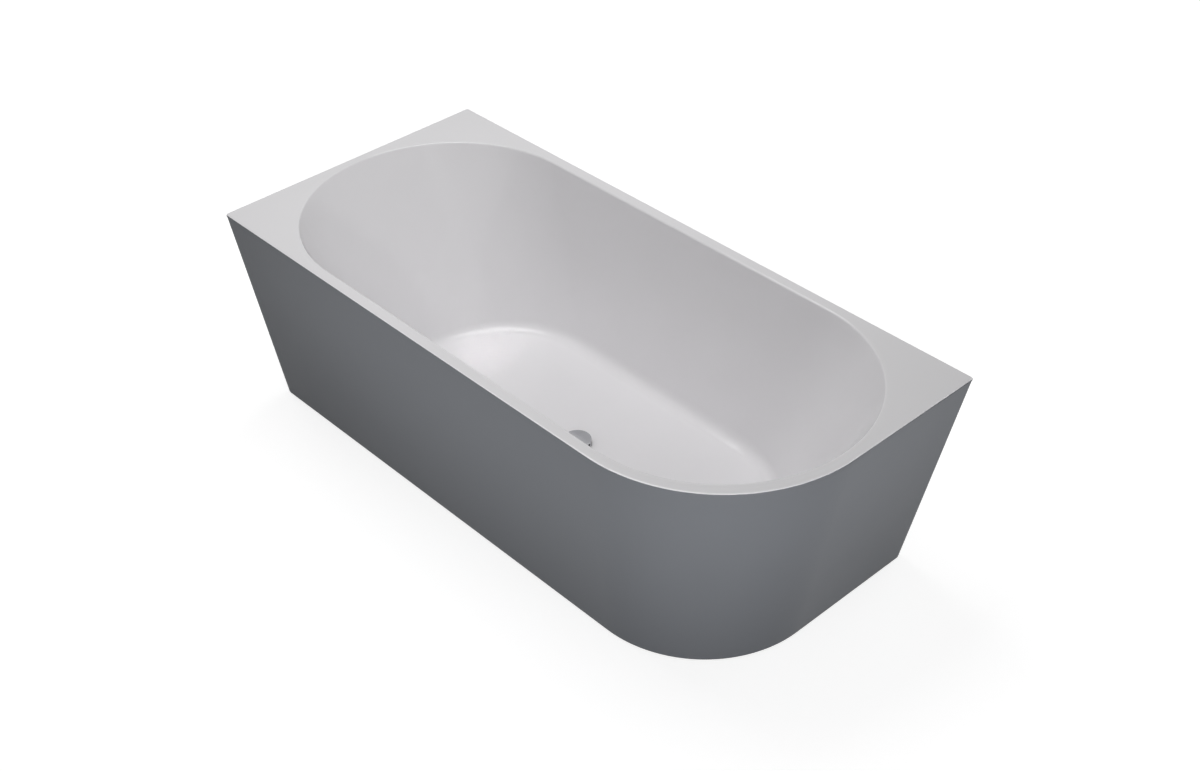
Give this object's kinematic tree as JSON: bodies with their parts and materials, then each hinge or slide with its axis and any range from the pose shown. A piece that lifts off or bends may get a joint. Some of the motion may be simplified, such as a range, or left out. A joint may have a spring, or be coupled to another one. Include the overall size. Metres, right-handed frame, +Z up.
{
  "type": "bathtub",
  "caption": "Back-to-wall corner bathtub with a flat rim, stadium-shaped basin, tapered skirt with a large round corner, pop-up waste and levelling feet.",
  "frame": {"origin": "middle of the footprint of the bounding box, at floor level", "axes": "+X along the length towards the free end with the round corner, +Y towards the long wall, +Z up"},
  "size_m": [1.7, 0.78, 0.6],
  "materials": {
    "white_acrylic": "gloss sanitary acrylic",
    "grey_acrylic": "satin acrylic",
    "chrome": "polished",
    "board": "raw particle board",
    "frame_steel": "satin powder coat",
    "zinc_steel": "zinc plated",
    "black_plastic": "moulded",
    "black_rubber": "moulded",
    "brass": "turned",
    "spring_steel": "drawn wire"
  },
  "bodies": {
    "tub": {"basin_shell": "white_acrylic", "outer_skirt": "grey_acrylic", "base_board": "board", "frame_rail_front": "frame_steel", "frame_rail_back": "frame_steel", "frame_crossbar_left": "frame_steel", "frame_crossbar_right": "frame_steel", "rail_end_caps": "black_plastic", "rail_screws": "zinc_steel", "skirt_bracket_front_left": "frame_steel", "skirt_bracket_front_right": "frame_steel", "skirt_bracket_back_left": "frame_steel", "skirt_bracket_back_right": "frame_steel", "bracket_screws": "zinc_steel", "waste_body": "chrome", "waste_flange_gasket": "black_rubber", "waste_washer": "black_rubber", "waste_backnut": "black_plastic", "popup_cartridge": "brass", "popup_spring": "spring_steel", "foot_front_left_weld_nut": "zinc_steel", "foot_front_left_lock_nut": "zinc_steel", "foot_front_right_weld_nut": "zinc_steel", "foot_front_right_lock_nut": "zinc_steel", "foot_back_left_weld_nut": "zinc_steel", "foot_back_left_lock_nut": "zinc_steel", "foot_back_right_weld_nut": "zinc_steel", "foot_back_right_lock_nut": "zinc_steel"},
    "plug": {"plug_cap": "chrome", "plug_seal": "black_rubber", "plug_stem": "brass"},
    "foot_front_left": {"foot_front_left_pad": "black_rubber"},
    "foot_front_left_screw": {"foot_front_left_stud": "zinc_steel"},
    "foot_front_right": {"foot_front_right_pad": "black_rubber"},
    "foot_front_right_screw": {"foot_front_right_stud": "zinc_steel"},
    "foot_back_left": {"foot_back_left_pad": "black_rubber"},
    "foot_back_left_screw": {"foot_back_left_stud": "zinc_steel"},
    "foot_back_right": {"foot_back_right_pad": "black_rubber"},
    "foot_back_right_screw": {"foot_back_right_stud": "zinc_steel"}
  },
  "joints": [
    {"name": "plug_press", "type": "slide", "parent": "tub", "child": "plug", "axis": [0, 0, 1], "range_m": [-0.0075, 0], "stiffness_N_per_m": 400, "springref_m": 0.012, "deforming": ["popup_spring"]},
    {"name": "foot_front_left_level", "type": "slide", "parent": "tub", "child": "foot_front_left", "axis": [0, 0, -1], "range_m": [-0.006, 0.02]},
    {"name": "foot_front_left_turn", "type": "hinge", "parent": "foot_front_left", "child": "foot_front_left_screw", "pos_m": [-0.39, -0.22644, 0], "axis": [0, 0, 1], "range_deg": [-4120, 1240]},
    {"name": "foot_front_right_level", "type": "slide", "parent": "tub", "child": "foot_front_right", "axis": [0, 0, -1], "range_m": [-0.006, 0.02]},
    {"name": "foot_front_right_turn", "type": "hinge", "parent": "foot_front_right", "child": "foot_front_right_screw", "pos_m": [0.39, -0.22644, 0], "axis": [0, 0, 1], "range_deg": [-4120, 1240]},
    {"name": "foot_back_left_level", "type": "slide", "parent": "tub", "child": "foot_back_left", "axis": [0, 0, -1], "range_m": [-0.006, 0.02]},
    {"name": "foot_back_left_turn", "type": "hinge", "parent": "foot_back_left", "child": "foot_back_left_screw", "pos_m": [-0.39, 0.321, 0], "axis": [0, 0, 1], "range_deg": [-4120, 1240]},
    {"name": "foot_back_right_level", "type": "slide", "parent": "tub", "child": "foot_back_right", "axis": [0, 0, -1], "range_m": [-0.006, 0.02]},
    {"name": "foot_back_right_turn", "type": "hinge", "parent": "foot_back_right", "child": "foot_back_right_screw", "pos_m": [0.39, 0.321, 0], "axis": [0, 0, 1], "range_deg": [-4120, 1240]}
  ],
  "couplings": [
    {"joint": "foot_front_left_turn", "follows": "foot_front_left_level", "rad_per_m": -3590.4},
    {"joint": "foot_front_right_turn", "follows": "foot_front_right_level", "rad_per_m": -3590.4},
    {"joint": "foot_back_left_turn", "follows": "foot_back_left_level", "rad_per_m": -3590.4},
    {"joint": "foot_back_right_turn", "follows": "foot_back_right_level", "rad_per_m": -3590.4}
  ]
}
